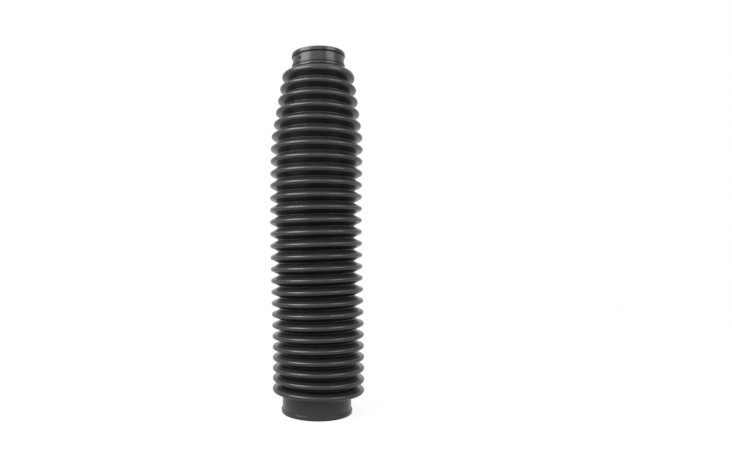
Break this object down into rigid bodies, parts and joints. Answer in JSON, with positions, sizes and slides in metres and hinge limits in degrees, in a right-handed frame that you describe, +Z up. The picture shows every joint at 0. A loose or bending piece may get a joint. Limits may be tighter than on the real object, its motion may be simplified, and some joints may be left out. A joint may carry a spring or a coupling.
{
  "type": "fork gaiter",
  "caption": "One-piece moulded rubber fork bellows: rounded folds that widen from a lipped upper collar, and a wider beaded lower collar.",
  "frame": {"origin": "centre of the lower collar's flat end, at the base on which the gaiter stands", "axes": "+Z up the gaiter's axis, from the wide lower collar to the narrow upper collar; -Y is the front, from which the picture looks; +X is to the right"},
  "size_m": [0.0865, 0.0844, 0.3278],
  "materials": {
    "rubber": "satin black moulded rubber"
  },
  "bodies": {
    "root": {"gaiter": "rubber"}
  },
  "joints": []
}
